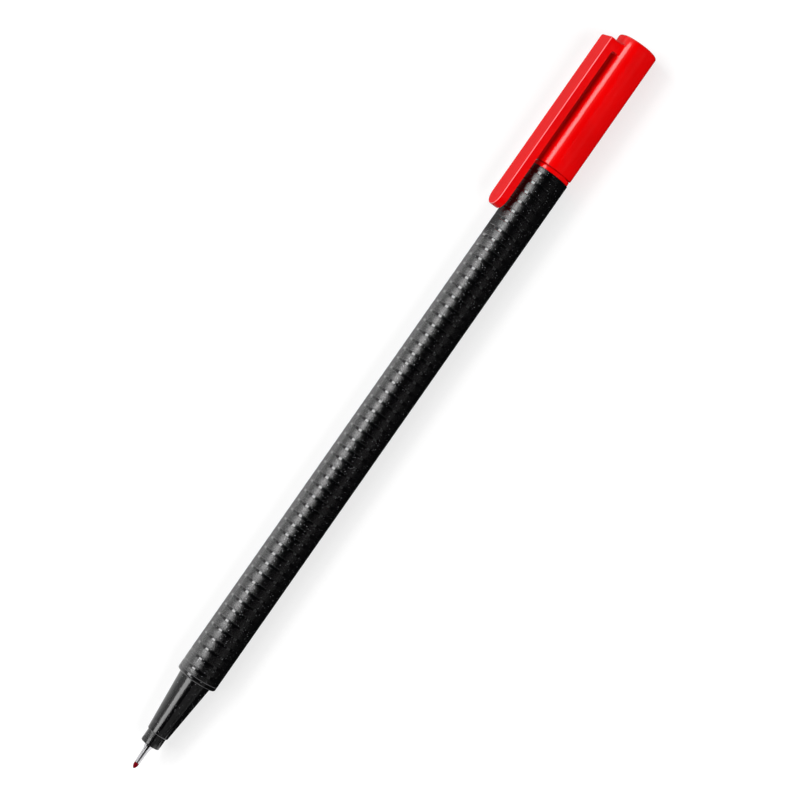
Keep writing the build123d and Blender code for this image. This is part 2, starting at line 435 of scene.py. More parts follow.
def makeBarrel(material):
    front, rear = spanX("barrel")
    shape = barrelShape
    edge, edgeSteps = shape["endRound"], shape["endSteps"]
    half, ramp, depth = shape["ringWidth"] / 2, shape["ringRamp"], shape["ringDepth"]
    stations = []  # (x, inset) along the barrel
    for x, y in roundedEdge((0, 0), edge, 0, 90, edgeSteps):
        stations.append((front + edge - x, edge - y))
    for ring in range(shape["ringCount"]):
        middle = front + shape["ringEndGap"] + ring * ringPitch()
        stations += [(middle - half - ramp, 0), (middle - half, depth)]
        stations += [(middle + half, depth), (middle + half + ramp, 0)]
    for x, y in roundedEdge((0, 0), edge, 90, -90, edgeSteps):
        stations.append((rear - edge + x, edge - y))
    bore = roundLoop(shape["bore"])
    rows = [rowAt(front, bore)]
    rows += [rowAt(x, threeSided(inset)) for x, inset in stations]
    rows.append(rowAt(rear, bore))
    bm = bmesh.new()
    skinRows(bm, rows)
    finishPiece("ringedBarrel", bm, "pen", "barrel", material)


def barrelMaterial():
    material, tree, shader, coords = startMaterial("speckledBarrel")
    look = barrelLook
    skin = placeSkin(tree, coords, look)
    fromRing = mathNode(
        tree, "PINGPONG",
        addNode(tree, "ShaderNodeSeparateXYZ", {"Vector": coords}).outputs["X"],
        ringPitch() / 2 * mm,
    )  # a ring lies at the barrel's middle, so this is the distance from the nearest ring
    ringEdge = barrelShape["ringWidth"] / 2 * mm
    bandFull = ringEdge + look["bandFade"] * mm
    band = rampNode(tree, fromRing, ringEdge * look["bandStart"], bandFull, 0, 1)
    polish = rampNode(tree, band, 0, 1, look["ringRoughness"], look["bandRoughness"], "LINEAR")
    varied = rampNode(tree, skin["Cloud"], 0, 1, *look["cloudRoughness"], "LINEAR")
    specks = placeSpecks(tree, coords, look)
    fillInputs(tree, shader, {
        "Base Color": mixColours(tree, specks, look["black"], look["speck"]),
        "Roughness": mathNode(tree, "MULTIPLY", polish, varied),
        "IOR": look["ior"],
    })
    bumpFrom(tree, shader, mathNode(tree, "MULTIPLY", skin["Height"], band), look["skinDepth"])
    return material


# Front section: glossy cone on a three-sided flange, with the spigot inside the barrel

noseShape = {
    "flangeLength": 1.0,
    "flangeEdge": 0.45,
    "flangeSteps": 8,
    "seamEdge": 0.07,
    "seamSteps": 3,
    "coneBase": 3.48,  # radii
    "coneFront": 2.32,
    "coneEdge": 0.2,
    "coneSteps": 4,
    "coneRows": 12,
    "spigot": 3.13,
    "spigotLead": 0.2,
    "socket": 2.65,
    "socketDepth": 5.0,
    "ledge": 2.05,
    "stemBore": 1.52,
    "stemDepth": 7.5,
}
noseLook = {
    "black": (0.0012, 0.0012, 0.0014, 1),
    "speck": (0.4, 0.4, 0.42, 1),
    "speckScale": 2200,
    "speckSize": 0.2,
    "speckShare": 0.9,
    "roughness": 0.16,
    "smearRoughness": 0.22,
    "smearScale": 90,
    "hairlineScale": 2600,
    "hairlineDepth": 0.1,  # share of the skin's depth
    "rippleScale": 190,
    "grainScale": 2600,
    "grain": 0.8,
    "skinDepth": 0.02,
    "ior": 1.59,
    "rimHighlightGrey": (0.15, 0.15, 0.155, 1),  # painted highlight: pale lines on the rims, where their roundings catch the light
    "rimHighlightWidth": 0.08,  # mm either way
    "flangeHighlightSetback": 0.12,  # mm behind the flange's front, where its painted highlight line lies
}


def makeFrontSection(material):
    shape = noseShape
    tip, spigotRear = spanX("front_section")
    barrelFront = spanX("barrel")[0]
    flangeFront = barrelFront - shape["flangeLength"]
    edge, seam, rim = shape["flangeEdge"], shape["seamEdge"], shape["coneEdge"]
    socketFloor = spigotRear - shape["socketDepth"]
    rows = lathe([
        (spigotRear, shape["socket"]),
        (spigotRear, shape["spigot"] - shape["spigotLead"]),
        (spigotRear - shape["spigotLead"], shape["spigot"]),
        (barrelFront, shape["spigot"]),
    ])
    for x, y in roundedEdge((0, 0), seam, 0, 90, shape["seamSteps"]):
        rows.append(rowAt(barrelFront - seam + x, threeSided(seam - y)))
    for x, y in roundedEdge((0, 0), edge, 90, 90, shape["flangeSteps"]):
        rows.append(rowAt(flangeFront + edge + x, threeSided(edge - y)))
    base, coneFront = shape["coneBase"], shape["coneFront"]
    coneProfile = []
    for step in range(shape["coneRows"] + 1):
        share = step / shape["coneRows"]
        x = flangeFront + (tip + rim - flangeFront) * share
        coneProfile.append((x, base + (coneFront - base) * share))
    rimCentre = (tip + rim, coneFront - rim)
    coneProfile += roundedEdge(rimCentre, rim, 90, 90, shape["coneSteps"])[1:]
    rows += lathe(coneProfile)
    rows += lathe([
        (tip, shape["stemBore"]),
        (tip + shape["stemDepth"], shape["stemBore"]),
        (tip + shape["stemDepth"], shape["ledge"]),
        (socketFloor, shape["ledge"]),
        (socketFloor, shape["socket"]),
    ])
    bm = bmesh.new()
    skinRows(bm, rows)
    finishPiece("noseCone", bm, "pen", "front_section", material)


def highlightLinePlaces():  # where the painted highlight lines on the seam, flange and cone rims lie along the pen
    barrelFront = spanX("barrel")[0]
    seam = barrelFront - noseShape["seamEdge"] / 2
    flange = barrelFront - noseShape["flangeLength"] + noseLook["flangeHighlightSetback"]
    cone = spanX("front_section")[0] + noseShape["coneEdge"] / 2
    return seam, flange, cone


def noseMaterial():
    material, tree, shader, coords = startMaterial("glossyNose")
    look = noseLook
    wornGloss(tree, shader, coords, look)
    specks = placeSpecks(tree, coords, look)
    plastic = mixColours(tree, specks, look["black"], look["speck"])
    alongPen = addNode(tree, "ShaderNodeSeparateXYZ", {"Vector": coords}).outputs["X"]
    # painted highlight: pale base colour along each rim stands in for the light its rounding
    # catches
    paintedEdgeHighlight = 0
    for rim in highlightLinePlaces():
        away = mathNode(tree, "ABSOLUTE", mathNode(tree, "SUBTRACT", alongPen, rim * mm))
        nearHighlightLine = rampNode(tree, away, 0, look["rimHighlightWidth"] * mm, 1, 0)
        paintedEdgeHighlight = mathNode(tree, "MAXIMUM", paintedEdgeHighlight, nearHighlightLine)
    fillInputs(tree, shader, {"Base Color": mixColours(tree, paintedEdgeHighlight, plastic, look["rimHighlightGrey"])})
    return material


# Nib holder: a short collar ahead of the cone, with its stem inside

holderShape = {
    "collar": 2.05,  # radii
    "collarEdge": 0.24,
    "edgeSteps": 8,
    "stem": 1.5,
    "rodBore": 0.62,
    "shankBore": 0.92,
    "shankDepth": 4.5,
}


def makeNibHolder(material):
    shape = holderShape
    front, stemRear = spanX("nib_holder")
    shoulder = spanX("front_section")[0]
    edge = shape["collarEdge"]
    shankFloor = front + shape["shankDepth"]
    profile = [(front, shape["shankBore"])]
    edgeCentre = (front + edge, shape["collar"] - edge)
    profile += roundedEdge(edgeCentre, edge, 180, -90, shape["edgeSteps"])
    profile += [
        (shoulder, shape["collar"]),
        (shoulder, shape["stem"]),
        (stemRear, shape["stem"]),
        (stemRear, shape["rodBore"]),
        (shankFloor, shape["rodBore"]),
        (shankFloor, shape["shankBore"]),
    ]
    bm = bmesh.new()
    skinRows(bm, lathe(profile))
    finishPiece("nibCollar", bm, "pen", "nib_holder", material)


# Metal sleeve: slim neck that flares to its seat on the collar

sleeveShape = {
    "front": 0.55,  # radii
    "lip": 0.045,
    "lipSteps": 4,
    "neck": 0.63,
    "base": 1.1,
    "flareLength": 1.8,
    "flareSteps": 12,
    "shank": 0.9,
    "shankLength": 4.5,
    "pointBore": 0.445,
    "rodBore": 0.62,
    "swellLength": 1.0,
}
sleeveLook = {
    "metal": (0.64, 0.64, 0.66, 1),
    "tarnish": (0.54, 0.53, 0.52, 1),
    "roughness": 0.1,
    "lineRoughness": 0.18,
    "smearScale": 700,
    "hairlineScale": 4000,
    "streakScale": 5200,
    "streakStretch": (1, 0.04, 0.04),  # lines run round the tube
    "streakDetail": 3,
    "streakRoughness": 0.5,
    "streakBend": 0,
    "streakSpan": (0.35, 0.75),
    "streakDepth": 0.001,
}


def makeNibSleeve(material):
    shape = sleeveShape
    front = spanX("nib_sleeve")[0]
    seat = spanX("nib_holder")[0]
    shankRear = seat + shape["shankLength"]
    swellRear = seat + shape["swellLength"]
    lip = shape["lip"]
    rise = shape["base"] - shape["neck"]
    flareRadius = (shape["flareLength"] ** 2 + rise**2) / (2 * rise)
    flareTurn = math.degrees(math.asin(shape["flareLength"] / flareRadius))
    flareFront = seat - shape["flareLength"]
    profile = [(front, shape["pointBore"])]
    lipCentre = (front + lip, shape["front"] - lip)
    profile += roundedEdge(lipCentre, lip, 180, -90, shape["lipSteps"])
    flareCentre = (flareFront, shape["neck"] + flareRadius)
    profile += roundedEdge(flareCentre, flareRadius, -90, flareTurn, shape["flareSteps"])
    profile += [
        (seat, shape["shank"]),
        (shankRear, shape["shank"]),
        (shankRear, shape["rodBore"]),
        (swellRear, shape["rodBore"]),
        (seat, shape["pointBore"]),
    ]
    bm = bmesh.new()
    skinRows(bm, lathe(profile))
    finishPiece("nibSleeve", bm, "pen", "nib_sleeve", material)


def sleeveMaterial():
    material, tree, shader, coords = startMaterial("polishedSleeve")
    look = sleeveLook
    lines = placeStreaks(tree, coords, look)
    smears = placeMarks(tree, coords, look)["Smears"]
    fillInputs(tree, shader, {
        "Base Color": mixColours(tree, smears, look["metal"], look["tarnish"]),
        "Roughness": rampNode(
            tree, lines["Mask"], 0, 1, look["roughness"], look["lineRoughness"], "LINEAR"
        ),
        "Metallic": 1,
    })
    bumpFrom(tree, shader, lines["Height"], look["streakDepth"])
    return material


# Nib: ground fibre point, soaked with ink

nibShape = {
    "tip": 0.02,  # radii
    "point": 0.505,
    "throat": 0.425,
    "rod": 0.6,
    "tail": 0.25,
    "bulletLength": 0.75,
    "bulletSteps": 12,
    "mouthGap": 0.01,
    "swellLength": 1.0,
    "tailLength": 1.2,
}
nibLook = {
    "ink": (0.12, 0.0008, 0.004, 1),
    "fibre": (0.2, 0.002, 0.008, 1),
    "roughness": 0.42,
    "dryRoughness": 0.62,
    "specular": 0.03,
    "streakScale": 9000,
    "streakStretch": (0.12, 1, 1),  # fibres run along the nib
    "streakDetail": 3,
    "streakRoughness": 0.6,
    "streakBend": 0,
    "streakSpan": (0.4, 0.7),
    "streakDepth": 0.006,
}


def makeNib(material):
    shape = nibShape
    front, rear = spanX("nib")
    sleeveFront = spanX("nib_sleeve")[0]
    seat = spanX("nib_holder")[0]
    mouth = sleeveFront - shape["mouthGap"]
    profile = [(front, shape["tip"])]
    for step in range(1, shape["bulletSteps"] + 1):  # ground to a bullet
        share = step / shape["bulletSteps"]
        profile.append((front + shape["bulletLength"] * share**2, shape["point"] * share))
    profile += [
        (mouth, shape["point"]),
        (mouth, shape["throat"]),
        (seat, shape["throat"]),
        (seat + shape["swellLength"], shape["rod"]),
        (rear - shape["tailLength"], shape["rod"]),
        (rear, shape["tail"]),
    ]
    bm = bmesh.new()
    skinRows(bm, lathe(profile), closed=False)
    finishPiece("fibreNib", bm, "pen", "nib", material)


def nibMaterial():
    material, tree, shader, coords = startMaterial("inkedFibre")
    look = nibLook
    fibres = placeStreaks(tree, coords, look)
    fillInputs(tree, shader, {
        "Base Color": mixColours(tree, fibres["Mask"], look["ink"], look["fibre"]),
        "Roughness": rampNode(
            tree, fibres["Mask"], 0, 1, look["roughness"], look["dryRoughness"], "LINEAR"
        ),
        "Specular IOR Level": look["specular"],
    })
    bumpFrom(tree, shader, fibres["Height"], look["streakDepth"])
    return material


# End plug: ring flush with the barrel, spigot inside it and stub inside the cap

plugShape = {
    "ringLength": 0.8,
    "ringInset": 0.15,
    "ringEdge": 0.06,
    "ringSteps": 3,
    "spigot": 3.13,  # radii
    "spigotLead": 0.2,
    "socket": 2.65,
    "socketDepth": 5.0,
    "ledge": 2.05,
    "stubBase": 3.48,
    "stub": 3.185,
    "stubTaper": 3.3,  # length of the conical seat
    "stubEdge": 0.5,
    "stubSteps": 6,
    "stubWall": 0.9,
}


def makeEndPlug(material):
    shape = plugShape
    front, stubRear = spanX("end_plug")
    barrelRear = spanX("barrel")[1]
    ringRear = barrelRear + shape["ringLength"]
    socketFloor = front + shape["socketDepth"]
    stubFloor = stubRear - shape["stubWall"]
    edge, inset = shape["ringEdge"], shape["ringInset"]
    rows = lathe([
        (stubFloor, shape["ledge"]),
        (socketFloor, shape["ledge"]),
        (socketFloor, shape["socket"]),
        (front, shape["socket"]),
        (front, shape["spigot"] - shape["spigotLead"]),
        (front + shape["spigotLead"], shape["spigot"]),
        (barrelRear, shape["spigot"]),
    ])
    for x, y in roundedEdge((0, 0), edge, 180, -90, shape["ringSteps"]):
        rows.append(rowAt(barrelRear + edge + x, threeSided(inset + edge - y)))
    for x, y in roundedEdge((0, 0), edge, 90, -90, shape["ringSteps"]):
        rows.append(rowAt(ringRear - edge + x, threeSided(inset + edge - y)))
    bevel = shape["stubEdge"]
    stubProfile = [(ringRear, shape["stubBase"]), (ringRear + shape["stubTaper"], shape["stub"])]
    bevelCentre = (stubRear - bevel, shape["stub"] - bevel)
    stubProfile += roundedEdge(bevelCentre, bevel, 90, -90, shape["stubSteps"])
    rows += lathe(stubProfile)
    bm = bmesh.new()
    skinRows(bm, rows, closed=False)
    finishPiece("rearPlug", bm, "pen", "end_plug", material)


# Cap: three-sided shell with a shallow dome, and the clip moulded in one with it

capShape = {
    "mouthGap": 0.2,  # from the plug's ring to the cap's mouth
    "mouthEdge": 0.22,
    "mouthSteps": 4,
    "mouthBore": 3.522,  # radii
    "throat": 3.245,
    "sealLength": 3.1,
    "endWall": 1.4,
    "floorEdge": 0.3,
    "domeRise": 0.35,
    "endEdge": 0.4,
    "endSteps": 6,
    "domeRows": 7,
    "wallRows": 6,
}
clipShape = {
    "drop": 2.4,  # from the cap's end down to the clip's top
    "width": 5.2,
    "thickness": 1.78,
    "gap": 1.02,
    "rootLength": 2.2,
    "rootEdge": 0.5,  # inside corner at the end of the slot
    "blend": 0.35,  # where the root meets the cap
    "sideBlend": 0.95,  # and along its two sides, where the cap bows away
    "sidePower": 6,  # how late the one turns into the other
    "endShare": 0.96,  # of half the width, rounds the free end
    "edge": 0.25,
    "topEdge": 0.45,  # rounds the two top corners
    "rootRows": 8,
    "sideRows": 8,
    "roundSteps": 6,
}
capLook = {
    "red": (0.78, 0.0005, 0.001, 1),
    "deepRed": (0.72, 0.0003, 0.0008, 1),
    "roughness": 0.1,
    "smearRoughness": 0.14,
    "smearScale": 70,
    "hairlineScale": 2400,
    "hairlineDepth": 0.1,  # share of the skin's depth
    "rippleScale": 120,
    "grainScale": 3000,
    "grain": 0.1,
    "skinDepth": 0.004,
    "ior": 1.5,
    "specular": 0.4,
    "clipEdgeHighlight": (0.9, 0.2, 0.215, 1),  # painted highlight: pale pink base colour along the clip's outer edge
    # mm below the clip's face where the painted highlight starts, is full, thins and ends
    "clipHighlightBand": (0.2, 0.13, 0.09, 0.02),
}


def clipPoint(x, left, out):  # a point by its place along, across and out from the clip's face
    across, up = turnedBy(sectionShape["clipFace"], out, left)
    return Vector((x, across, axisHeight + up)) * mm


def faceOut(left):  # how far out the cap's bowed face lies, left or right of its middle
    past = max(abs(left) - sectionShape["flatWidth"] / 2, 0)
    return bowCentre + math.sqrt(bowRadius**2 - past**2)


def clipCorner(x, left, top):  # rounds the clip's top corners: the place and its outward direction
    half = clipShape["width"] / 2
    radius = clipShape["topEdge"]
    side = math.copysign(1, left)
    fromTop, fromSide = top - x, half - abs(left)
    if fromTop < radius and fromSide < radius:
        turn = math.radians(45 * (1 + (fromSide - fromTop) / radius))
        x = top - radius + radius * math.sin(turn)
        left = side * (half - radius + radius * math.cos(turn))
        return (x, left), (math.sin(turn), side * math.cos(turn))
    if fromSide < fromTop:
        return (x, left), (0, side)
    return (x, left), (1, 0)


def capRows():
    shape = capShape
    mouth = spanX("barrel")[1] + plugShape["ringLength"] + shape["mouthGap"]
    rear = spanX("cap")[1]
    floor = rear - shape["endWall"]
    inner = shape["floorEdge"]
    rows = lathe([
        (floor, shape["throat"] - inner),
        (floor - inner, shape["throat"]),
        (mouth + shape["sealLength"], shape["throat"]),
        (mouth, shape["mouthBore"]),
    ])
    edge = shape["mouthEdge"]
    for x, y in roundedEdge((0, 0), edge, 180, -90, shape["mouthSteps"]):
        rows.append(rowAt(mouth + edge + x, threeSided(edge - y)))
    top = rear - clipShape["drop"]
    holeFront = top - clipShape["rootLength"] - clipShape["blend"]
    holeRear = top + clipShape["blend"]
    for step in range(1, shape["wallRows"] + 1):
        x = mouth + edge + (holeFront - mouth - edge) * step / shape["wallRows"]
        rows.append(rowAt(x, threeSided()))
    holeStart = len(rows) - 1
    for step in range(1, clipShape["rootRows"] + 1):
        x = holeFront + (holeRear - holeFront) * step / clipShape["rootRows"]
        rows.append(rowAt(x, threeSided()))
    holeEnd = len(rows) - 1
    reach = sectionShape["ridgeSpread"] + ridgeRadius
    domeRadius = (reach**2 + shape["domeRise"] ** 2) / (2 * shape["domeRise"])
    lip = shape["endEdge"]

    def onDome(across, up, back):  # the dome's x over a point of the section, less a step back
        return rear - domeRadius + math.sqrt(domeRadius**2 - across**2 - up**2) - back

    for x, y in roundedEdge((0, 0), lip, 90, -90, shape["endSteps"]):
        loop = threeSided(lip - y)
        rows.append([Vector((onDome(a, u, lip - x), a, axisHeight + u)) for a, u in loop])
    for step in range(1, shape["domeRows"]):
        share = 1 - step / shape["domeRows"]
        loop = [(a * share, u * share) for a, u in threeSided(lip)]
        rows.append([Vector((onDome(a, u, 0), a, axisHeight + u)) for a, u in loop])
    return rows, holeStart, holeEnd, top


def makeCap(material):
    rows, holeStart, holeEnd, top = capRows()
    bm = bmesh.new()
    made = skinRows(bm, rows, False, range(holeStart, holeEnd), range(faceColumns))
    rim = [made[holeStart][k] for k in range(faceColumns + 1)]
    rim += [made[row][faceColumns] for row in range(holeStart + 1, holeEnd + 1)]
    rim += [made[holeEnd][k] for k in range(faceColumns - 1, -1, -1)]
    rim += [made[row][0] for row in range(holeEnd - 1, holeStart, -1)]
    addClip(bm, rim, top)
    finishPiece("clipCap", bm, "cap", "cap", material)


def addClip(bm, rim, top):  # grows the root out of the hole's rim, then the tongue out of the root
    shape = clipShape
    half = shape["width"] / 2
    rootFront = top - shape["rootLength"]
    inner = axisHeight + shape["gap"]
    outer = inner + shape["thickness"]
    middle = Vector(turnedBy(sectionShape["clipFace"], 0, 1))
    rimPlan = []
    for vert in rim:
        flat = Vector((vert.co.y / mm, vert.co.z / mm - axisHeight))
        rimPlan.append((vert.co.x / mm, flat.dot(middle)))
    rimFront, rimHalf = rimPlan[0][0], abs(rimPlan[0][1])
    rimRear = rimPlan[faceColumns + shape["rootRows"]][0]

    def rootPlan(x, left, front):  # the root's outline, with its front face at a given x
        share = (x - rimFront) / (rimRear - rimFront)
        return clipCorner(front + (top - front) * share, left * half / rimHalf, top)[0]

    last = rim
    steps = shape["roundSteps"]
    for step in range(1, steps + 1):  # concave blend on the cap's face
        turn = math.radians(90 * step / steps)
        loop = []
        for x, left in rimPlan:
            rootX, rootLeft = rootPlan(x, left, rootFront)
            placeX = x + (rootX - x) * math.sin(turn)
            placeLeft = left + (rootLeft - left) * math.sin(turn)
            side = min(abs(left) / rimHalf, 1) ** shape["sidePower"]
            rise = shape["blend"] + (shape["sideBlend"] - shape["blend"]) * side
            out = faceOut(placeLeft) + rise * (1 - math.cos(turn))
            loop.append(bm.verts.new(clipPoint(placeX, placeLeft, out)))
        bridge(bm, last, loop)
        last = loop
    for step in range(steps + 1):  # up the root, with a round corner at the end of the slot
        turn = math.radians(90 * step / steps)
        front = rootFront - shape["rootEdge"] * (1 - math.cos(turn))
        out = inner - shape["rootEdge"] * (1 - math.sin(turn))
        loop = []
        for x, left in rimPlan:
            placeX, placeLeft = rootPlan(x, left, front)
            loop.append(bm.verts.new(clipPoint(placeX, placeLeft, out)))
        bridge(bm, last, loop)
        last = loop
    tongueFront = rootFront - shape["rootEdge"]
    # (place, outward direction) round the tongue: over its top, then round the free end
    outline = []
    for x, left in rimPlan[faceColumns:] + rimPlan[:1]:
        share = (x - rimFront) / (rimRear - rimFront)
        placeX = tongueFront + (top - tongueFront) * share
        outline.append(clipCorner(placeX, left * half / rimHalf, top))
    freeEnd = spanX("cap")[0]
    endRadius = shape["endShare"] * half
    sideRows, endSteps = shape["sideRows"], steps * 2
    straight = []
    for k in range(1, sideRows):
        straight.append(freeEnd + endRadius + (tongueFront - freeEnd - endRadius) * k / sideRows)
    for x in reversed(straight):
        outline.append(((x, -half), (0, -1)))
    for side, start in ((-1, 0), (1, 90)):
        for step in range(endSteps + 1):
            turn = math.radians(start + 90 * step / endSteps)
            direction = (-math.sin(turn), -math.cos(turn))
            x = freeEnd + endRadius + endRadius * direction[0]
            left = side * (half - endRadius) + endRadius * direction[1]
            outline.append(((x, left), direction))
    for x in straight:
        outline.append(((x, half), (0, 1)))
    onRoot = last[faceColumns:] + last[:1]
    free = []
    for (x, left), direction in outline[len(onRoot):]:
        free.append(bm.verts.new(clipPoint(x, left, inner)))
    tongue = onRoot + free
    bm.faces.new(last[faceColumns::-1] + free)  # the face towards the cap
    edge = shape["edge"]
    levels = [(inner + edge, 0)]
    for x, y in roundedEdge((0, 0), edge, 0, 90, steps):
        levels.append((outer - edge + y, edge - x))
    for out, inset in levels:
        loop = []
        for (x, left), (outX, outLeft) in outline:
            place = clipPoint(x - inset * outX, left - inset * outLeft, out)
            loop.append(bm.verts.new(place))
        bridge(bm, tongue, loop)
        tongue = loop
    bm.faces.new(tongue)


def capMaterial():
    material, tree, shader, coords = startMaterial("glossyRed")
    look = capLook
    skin = wornGloss(tree, shader, coords, look)
    plastic = mixColours(tree, skin["Cloud"], look["red"], look["deepRed"])
    across, up = turnedBy(sectionShape["clipFace"], 1)
    outwards = addNode(
        tree, "ShaderNodeVectorMath", {0: coords, 1: (0, across, up)}, operation="DOT_PRODUCT"
    ).outputs["Value"]
    clipTop = axisHeight * (1 + up) + clipShape["gap"] + clipShape["thickness"]
    start, full, thin, end = [(clipTop - below) * mm for below in look["clipHighlightBand"]]
    # painted highlight: a pale band of base colour on the clip's edge round, standing in for its
    # light catch
    comesUp = rampNode(tree, outwards, start, full, 0, 1)
    thinsOut = rampNode(tree, outwards, thin, end, 1, 0)
    paintedEdgeHighlight = mathNode(tree, "MULTIPLY", comesUp, thinsOut)
    fillInputs(tree, shader, {
        "Base Color": mixColours(tree, paintedEdgeHighlight, plastic, look["clipEdgeHighlight"]),
        "Specular IOR Level": look["specular"],
    })
    return material


# Ink reservoir and its film stay as the frame has them and get their finishes here

reservoirLook = {
    "ink": (0.3, 0.004, 0.012, 1),
    "fibre": (0.55, 0.03, 0.05, 1),
    "roughness": 0.8,
    "streakScale": 4200,
    "streakStretch": (0.05, 1, 1),  # fibres run along the pen
    "streakDetail": 4,
    "streakRoughness": 0.65,
    "streakBend": 0,
    "streakSpan": (0.38, 0.68),
    "streakDepth": 0.02,
}
filmLook = {
    "film": (0.8, 0.78, 0.76, 1),
    "crease": (0.68, 0.64, 0.62, 1),
    "roughness": 0.18,
    "creaseRoughness": 0.34,
    "streakScale": 420,
    "streakStretch": (0.15, 1, 1),  # creases run along the pen
    "streakDetail": 2,
    "streakRoughness": 0.5,
    "streakBend": 0.8,
    "streakSpan": (0.5, 0.72),
    "streakDepth": 0.01,
}


def reservoirMaterial():
    material, tree, shader, coords = startMaterial("inkedCore")
    look = reservoirLook
    fibres = placeStreaks(tree, coords, look)
    fillInputs(tree, shader, {
        "Base Color": mixColours(tree, fibres["Mask"], look["ink"], look["fibre"]),
        "Roughness": look["roughness"],
    })
    bumpFrom(tree, shader, fibres["Height"], look["streakDepth"])
    return material


def filmMaterial():
    material, tree, shader, coords = startMaterial("reservoirFilm")
    look = filmLook
    creases = placeStreaks(tree, coords, look)
    fillInputs(tree, shader, {
        "Base Color": mixColours(tree, creases["Mask"], look["film"], look["crease"]),
        "Roughness": rampNode(
            tree, creases["Mask"], 0, 1, look["roughness"], look["creaseRoughness"], "LINEAR"
        ),
    })
    bumpFrom(tree, shader, creases["Height"], look["streakDepth"])
    return material


def dressNode(node, material):
    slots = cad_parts[node].data.materials
    slots.clear()
    slots.append(material)
    print("frame node dressed:", node)


# Stage: white floor, studio panels and the camera

floorLook = {
    "radius": 6.0,  # metres, as the reaches are
    "segments": 96,
    "white": (0.45, 0.45, 0.45, 1),
    "roughness": 0.9,
    "glowNear": 0.58,  # lifts the paper to white round the pen and keeps its shadow
    "glowFar": 1.0,
    "nearReach": 0.13,
    "farReach": 0.4,
}
# Panels stand over the pen's axis: lean in degrees from straight up towards +y, sizes in metres
studio = {
    "keyPanel": {
        "lean": 48.8, "distance": 0.5, "across": 0.262, "length": 0.34, "along": 0.03,
        "radiance": 7.1, "gloss": True,
    },
    "nosePanel": {
        "lean": 27.3, "distance": 0.5, "across": 0.275, "length": 0.16, "along": -0.25,
        "radiance": 5.6, "gloss": True,
    },
    "fillPanel": {
        "lean": -44, "distance": 0.9, "across": 0.45, "length": 0.7, "along": 0,
        "radiance": 5.5, "gloss": False,
    },
    "sidePanel": {
        "lean": -79, "distance": 0.9, "across": 0.3, "length": 0.7, "along": 0,
        "radiance": 3.3, "gloss": False,
    },
}
# Cards beside the pen show only in its gloss: their reach in mm, and their grey
cards = {
    "rightCard": {"x": (-76.8, 400), "y": (-1600, -2.4), "z": (0.2, 0.2), "grey": 0.012},
    "frontCard": {"x": (-400, -76.8), "y": (-1600, -20), "z": (0.2, 0.2), "grey": 0.012},
    "leftCard": {"x": (-57, 44), "y": (4.5, 22), "z": (0.2, 0.2), "grey": 0.62},
    "stripCard": {"x": (-57, 44), "y": (10, 13.5), "z": (0.4, 0.4), "grey": 1.55},
    "farCard": {"x": (-57, 44), "y": (22, 80), "z": (0.2, 0.2), "grey": 0.45},
    "clipCard": {"x": (44, 110), "y": (5, 60), "z": (0.2, 0.2), "grey": 0.22},
    "barrelCard": {"x": (-150, 54), "y": (-60, -60), "z": (7, 29), "grey": 0.22},
    "noseCard": {"x": (-110, -77), "y": (-54, -20), "z": (31, 60), "grey": 0.42},
    "sleeveDark": {"x": (-90, -80.4), "y": (0.8, 3.3), "z": (14, 14), "grey": 0.03},
    "sleevePale": {"x": (-90, -80.4), "y": (3.3, 11), "z": (14, 14), "grey": 1.6},
    "coneCard": {"x": (-150, -82), "y": (60, 60), "z": (0.2, 26), "grey": 1.1},
    "nibCard": {"x": (-90, -77), "y": (-6, -6), "z": (0.2, 9), "grey": 1.0},
    "paleCard": {"x": (-95, -76.8), "y": (0.8, 30), "z": (0.2, 0.2), "grey": 0.6},
}
cardWeave = {"scale": 900, "shares": (0.9, 1.1)}  # darkest and palest share of a card's grey
# Walls and ceiling as one sky: lean towards +y in degrees, and how bright it is there
skyStops = [
    (-100, 0.04), (-60, 0.04), (-50, 0.0), (-8, 0.0), (4, 0.03), (16, 0.12),
    (26, 0.4), (34, 0.6), (66, 0.55), (80, 0.6), (92, 0.8), (100, 0.8),
]
# Ahead of the nib the sky fades out, and a pale wall closes it: by how far a direction points there
skyAhead = {"fade": 0.3, "gone": 0.5, "level": 0.7, "start": 0.92, "full": 0.98}
view = {
    "tilt": 7,  # degrees that the view leans from straight down, towards -y
    "turn": 34.965,  # degrees of the pen from upright in the picture
    "distance": 530.0,  # mm from the axis
    "width": 157.3,  # mm across the picture at the axis
    "alongPen": 6.97,  # where the middle of the picture lies, from the origin along the pen
    "besidePen": 1.5,  # and to the right of the axis in the picture
    "sensor": 36,
    "clip": (0.01, 50),  # nearest and farthest that it sees, metres
}


def makeFloor():
    look = floorLook
    bm = bmesh.new()
    bmesh.ops.create_circle(bm, cap_ends=True, segments=look["segments"], radius=look["radius"])
    mesh = bpy.data.meshes.new("paperFloor")
    bm.to_mesh(mesh)
    bm.free()
    material, tree, shader, coords = startMaterial("whitePaper")
    away = addNode(tree, "ShaderNodeVectorMath", {0: coords}, operation="LENGTH").outputs["Value"]
    glow = rampNode(
        tree, away, look["nearReach"], look["farReach"], look["glowNear"], look["glowFar"]
    )
    path = addNode(tree, "ShaderNodeLightPath").outputs
    seen = mathNode(tree, "MAXIMUM", path["Is Camera Ray"], path["Is Glossy Ray"])
    seen = mathNode(tree, "MAXIMUM", seen, path["Is Transmission Ray"])
    fillInputs(tree, shader, {
        "Base Color": look["white"],
        "Roughness": look["roughness"],
        "Specular IOR Level": 0,
        "Emission Color": (1, 1, 1, 1),
        "Emission Strength": mathNode(tree, "MULTIPLY", glow, seen),
    })
    mesh.materials.append(material)
    floor = bpy.data.objects.new("paperFloor", mesh)
    bpy.context.scene.collection.objects.link(floor)


